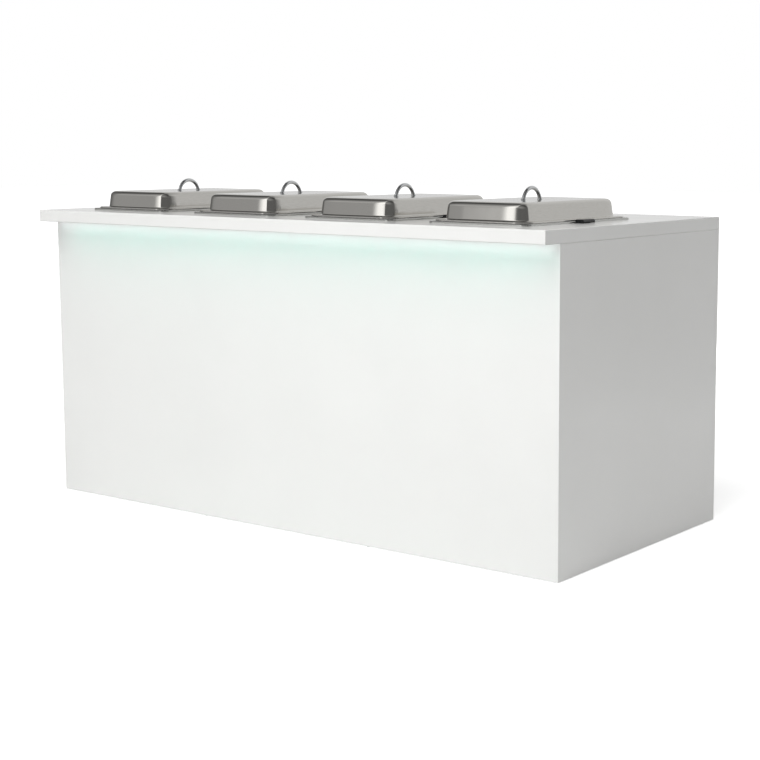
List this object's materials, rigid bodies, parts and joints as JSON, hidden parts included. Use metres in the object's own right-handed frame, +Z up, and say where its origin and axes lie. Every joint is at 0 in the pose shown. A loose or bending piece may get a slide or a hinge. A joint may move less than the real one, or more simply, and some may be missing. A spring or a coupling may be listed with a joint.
{
  "type": "buffet serving station",
  "caption": "Free-standing white buffet counter with drop-in chafing dishes under domed steel covers, a light line below the front edge and an open staff side with gel burners.",
  "frame": {"origin": "on the floor, under the middle of the counter's outline", "axes": "+X along the counter to the right as seen by a guest, +Y towards the staff side, +Z up"},
  "size_m": [2, 0.96, 1.051],
  "materials": {
    "white_laminate_board": "high-gloss white laminate on board",
    "grey_plastic": "moulded",
    "zinc_steel": "zinc plated",
    "anodised_aluminium": "clear anodised extrusion",
    "opal_plastic": "opal, lit pale cyan",
    "circuit_board": "white solder mask",
    "white_cable": "soft PVC",
    "black_cable": "soft PVC",
    "white_plastic": "moulded",
    "black_plastic": "moulded",
    "plated_brass": "nickel plated",
    "stainless_sheet": "drawn stainless, satin",
    "polished_stainless": "drawn stainless, mirror polished",
    "chrome": "polished",
    "black_phenolic": "moulded phenolic",
    "tinplate": "tinned"
  },
  "bodies": {
    "cabinet": {"counter_top": "white_laminate_board", "front_panel": "white_laminate_board", "left_end_panel": "white_laminate_board", "right_end_panel": "white_laminate_board", "base_panel": "white_laminate_board", "back_plinth": "white_laminate_board", "front_top_rail": "white_laminate_board", "back_top_rail": "white_laminate_board", "centre_partition": "white_laminate_board", "left_burner_shelf": "white_laminate_board", "right_burner_shelf": "white_laminate_board", "floor_glides": "grey_plastic", "corner_brackets": "zinc_steel", "led_channel": "anodised_aluminium", "led_diffuser": "opal_plastic", "led_strip": "circuit_board", "led_end_caps": "grey_plastic", "led_lead": "white_cable", "led_driver": "white_plastic", "mains_lead": "black_cable", "lead_clips": "white_plastic", "inlet_housing": "black_plastic", "inlet_blades": "plated_brass", "fuel_holders": "stainless_sheet", "fuel_cans": "tinplate"},
    "rocker_switch": {"rocker_switch": "black_plastic"},
    "water_pan_1": {"water_pan_1": "stainless_sheet", "lift_grips_1": "black_phenolic"},
    "food_pan_1": {"food_pan_1": "stainless_sheet"},
    "cover_1": {"cover_1": "polished_stainless", "cover_handle_1": "chrome", "handle_screws_1": "zinc_steel"},
    "water_pan_2": {"water_pan_2": "stainless_sheet", "lift_grips_2": "black_phenolic"},
    "food_pan_2": {"food_pan_2": "stainless_sheet"},
    "cover_2": {"cover_2": "polished_stainless", "cover_handle_2": "chrome", "handle_screws_2": "zinc_steel"},
    "water_pan_3": {"water_pan_3": "stainless_sheet", "lift_grips_3": "black_phenolic"},
    "food_pan_3": {"food_pan_3": "stainless_sheet"},
    "cover_3": {"cover_3": "polished_stainless", "cover_handle_3": "chrome", "handle_screws_3": "zinc_steel"},
    "water_pan_4": {"water_pan_4": "stainless_sheet", "lift_grips_4": "black_phenolic"},
    "food_pan_4": {"food_pan_4": "stainless_sheet"},
    "cover_4": {"cover_4": "polished_stainless", "cover_handle_4": "chrome", "handle_screws_4": "zinc_steel"},
    "burner_lid_1": {"burner_lid_1": "stainless_sheet"},
    "burner_lid_2": {"burner_lid_2": "stainless_sheet"},
    "burner_lid_3": {"burner_lid_3": "stainless_sheet"},
    "burner_lid_4": {"burner_lid_4": "stainless_sheet"},
    "burner_lid_5": {"burner_lid_5": "stainless_sheet"},
    "burner_lid_6": {"burner_lid_6": "stainless_sheet"},
    "burner_lid_7": {"burner_lid_7": "stainless_sheet"},
    "burner_lid_8": {"burner_lid_8": "stainless_sheet"}
  },
  "joints": [
    {"name": "rocker_tilt", "type": "hinge", "parent": "cabinet", "child": "rocker_switch", "pos_m": [0.958, 0.4575, 0.871], "axis": [-1, 0, 0], "range_deg": [0, 16]},
    {"name": "water_pan_1_lift", "type": "slide", "parent": "cabinet", "child": "water_pan_1", "axis": [0, 0, 1], "range_m": [0, 0.16]},
    {"name": "food_pan_1_lift", "type": "slide", "parent": "water_pan_1", "child": "food_pan_1", "axis": [0, 0, 1], "range_m": [0, 0.12]},
    {"name": "cover_1_lift", "type": "slide", "parent": "food_pan_1", "child": "cover_1", "axis": [0, 0, 1], "range_m": [0, 0.15]},
    {"name": "water_pan_2_lift", "type": "slide", "parent": "cabinet", "child": "water_pan_2", "axis": [0, 0, 1], "range_m": [0, 0.16]},
    {"name": "food_pan_2_lift", "type": "slide", "parent": "water_pan_2", "child": "food_pan_2", "axis": [0, 0, 1], "range_m": [0, 0.12]},
    {"name": "cover_2_lift", "type": "slide", "parent": "food_pan_2", "child": "cover_2", "axis": [0, 0, 1], "range_m": [0, 0.15]},
    {"name": "water_pan_3_lift", "type": "slide", "parent": "cabinet", "child": "water_pan_3", "axis": [0, 0, 1], "range_m": [0, 0.16]},
    {"name": "food_pan_3_lift", "type": "slide", "parent": "water_pan_3", "child": "food_pan_3", "axis": [0, 0, 1], "range_m": [0, 0.12]},
    {"name": "cover_3_lift", "type": "slide", "parent": "food_pan_3", "child": "cover_3", "axis": [0, 0, 1], "range_m": [0, 0.15]},
    {"name": "water_pan_4_lift", "type": "slide", "parent": "cabinet", "child": "water_pan_4", "axis": [0, 0, 1], "range_m": [0, 0.16]},
    {"name": "food_pan_4_lift", "type": "slide", "parent": "water_pan_4", "child": "food_pan_4", "axis": [0, 0, 1], "range_m": [0, 0.12]},
    {"name": "cover_4_lift", "type": "slide", "parent": "food_pan_4", "child": "cover_4", "axis": [0, 0, 1], "range_m": [0, 0.15]},
    {"name": "burner_lid_1_swing", "type": "hinge", "parent": "cabinet", "child": "burner_lid_1", "pos_m": [-0.6441, -0.226, 0.7947], "axis": [0, 0, 1], "range_deg": [0, 115]},
    {"name": "burner_lid_2_swing", "type": "hinge", "parent": "cabinet", "child": "burner_lid_2", "pos_m": [-0.6441, 0.024, 0.7947], "axis": [0, 0, 1], "range_deg": [0, 115]},
    {"name": "burner_lid_3_swing", "type": "hinge", "parent": "cabinet", "child": "burner_lid_3", "pos_m": [-0.1781, -0.226, 0.7947], "axis": [0, 0, 1], "range_deg": [0, 115]},
    {"name": "burner_lid_4_swing", "type": "hinge", "parent": "cabinet", "child": "burner_lid_4", "pos_m": [-0.1781, 0.024, 0.7947], "axis": [0, 0, 1], "range_deg": [0, 115]},
    {"name": "burner_lid_5_swing", "type": "hinge", "parent": "cabinet", "child": "burner_lid_5", "pos_m": [0.2879, -0.226, 0.7947], "axis": [0, 0, 1], "range_deg": [0, 115]},
    {"name": "burner_lid_6_swing", "type": "hinge", "parent": "cabinet", "child": "burner_lid_6", "pos_m": [0.2879, 0.024, 0.7947], "axis": [0, 0, 1], "range_deg": [0, 115]},
    {"name": "burner_lid_7_swing", "type": "hinge", "parent": "cabinet", "child": "burner_lid_7", "pos_m": [0.7539, -0.226, 0.7947], "axis": [0, 0, 1], "range_deg": [0, 115]},
    {"name": "burner_lid_8_swing", "type": "hinge", "parent": "cabinet", "child": "burner_lid_8", "pos_m": [0.7539, 0.024, 0.7947], "axis": [0, 0, 1], "range_deg": [0, 115]}
  ]
}
